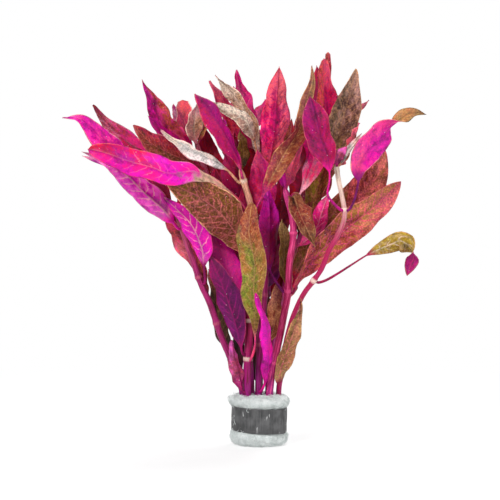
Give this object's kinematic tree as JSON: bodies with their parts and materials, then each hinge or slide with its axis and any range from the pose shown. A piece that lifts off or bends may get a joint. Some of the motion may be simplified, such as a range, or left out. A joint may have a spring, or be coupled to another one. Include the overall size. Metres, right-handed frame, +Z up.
{
  "type": "alternanthera bunch",
  "caption": "Upright bunch of red-purple water plant cuttings with lance-shaped leaves, its foot wrapped in white filter wool and held by a dark soft metal strip.",
  "frame": {"origin": "middle of the wool's flat foot, on the surface that the bunch stands on", "axes": "+Z up along the stems, -Y towards the viewer of the picture, +X to that viewer's right"},
  "size_m": [0.1781, 0.1023, 0.1973],
  "materials": {
    "leaf_magenta": "satin",
    "leaf_crimson": "satin",
    "leaf_violet": "satin",
    "leaf_plum": "satin",
    "leaf_rose": "satin",
    "leaf_russet": "satin",
    "leaf_brown": "satin",
    "leaf_olive": "satin",
    "leaf_tan": "satin",
    "leaf_dusky": "satin",
    "leaf_pale": "satin",
    "stem": "satin",
    "wool": "matte",
    "strip": "matte"
  },
  "bodies": {
    "root": {"wool_wrap": "wool", "lead_strip": "strip", "stem_outer_left": "stem", "stem_front_left": "stem", "stem_centre": "stem", "stem_front_right": "stem", "stem_outer_right": "stem", "stem_back_right": "stem", "stem_back_left": "stem", "stem_back": "stem", "leaf_far_left": "leaf_magenta", "leaf_left_front": "leaf_magenta", "leaf_left_under": "leaf_magenta", "leaf_low_left": "leaf_rose", "leaf_mid_magenta": "leaf_magenta", "leaf_big_brown": "leaf_brown", "leaf_brown_upper_left": "leaf_brown", "leaf_left_back": "leaf_russet", "leaf_upper_left": "leaf_plum", "leaf_crimson_left": "leaf_magenta", "leaf_pale_left": "leaf_pale", "leaf_magenta_red": "leaf_crimson", "leaf_pale_bend": "leaf_pale", "leaf_tan_top": "leaf_tan", "leaf_red_top": "leaf_crimson", "leaf_pink_top": "leaf_rose", "leaf_crimson_centre": "leaf_crimson", "leaf_brown_twist": "leaf_brown", "leaf_crimson_top": "leaf_crimson", "leaf_plum_right": "leaf_plum", "leaf_rose_right": "leaf_plum", "leaf_dusky_top": "leaf_dusky", "leaf_magenta_right": "leaf_magenta", "leaf_brown_right_back": "leaf_brown", "leaf_brown_right_front": "leaf_russet", "leaf_brown_right_mid": "leaf_brown", "leaf_olive_droop": "leaf_olive", "leaf_green_centre": "leaf_olive", "leaf_magenta_spike": "leaf_magenta", "leaf_violet_low": "leaf_violet", "leaf_violet_high": "leaf_violet", "leaf_dusky_left": "leaf_dusky", "leaf_violet_small": "leaf_violet", "leaf_dusky_centre": "leaf_dusky", "leaf_olive_narrow": "leaf_olive", "leaf_brown_fore": "leaf_dusky", "leaf_violet_centre": "leaf_violet", "leaf_crimson_mid": "leaf_crimson", "leaf_pink_small": "leaf_rose", "leaf_olive_right": "leaf_olive", "leaf_tan_low_right": "leaf_tan", "leaf_back_1": "leaf_plum", "leaf_back_2": "leaf_brown", "leaf_back_3": "leaf_magenta", "leaf_back_4": "leaf_crimson", "leaf_back_5": "leaf_olive", "leaf_back_6": "leaf_crimson", "leaf_back_7": "leaf_crimson", "leaf_back_8": "leaf_russet", "leaf_back_9": "leaf_crimson"}
  },
  "joints": []
}
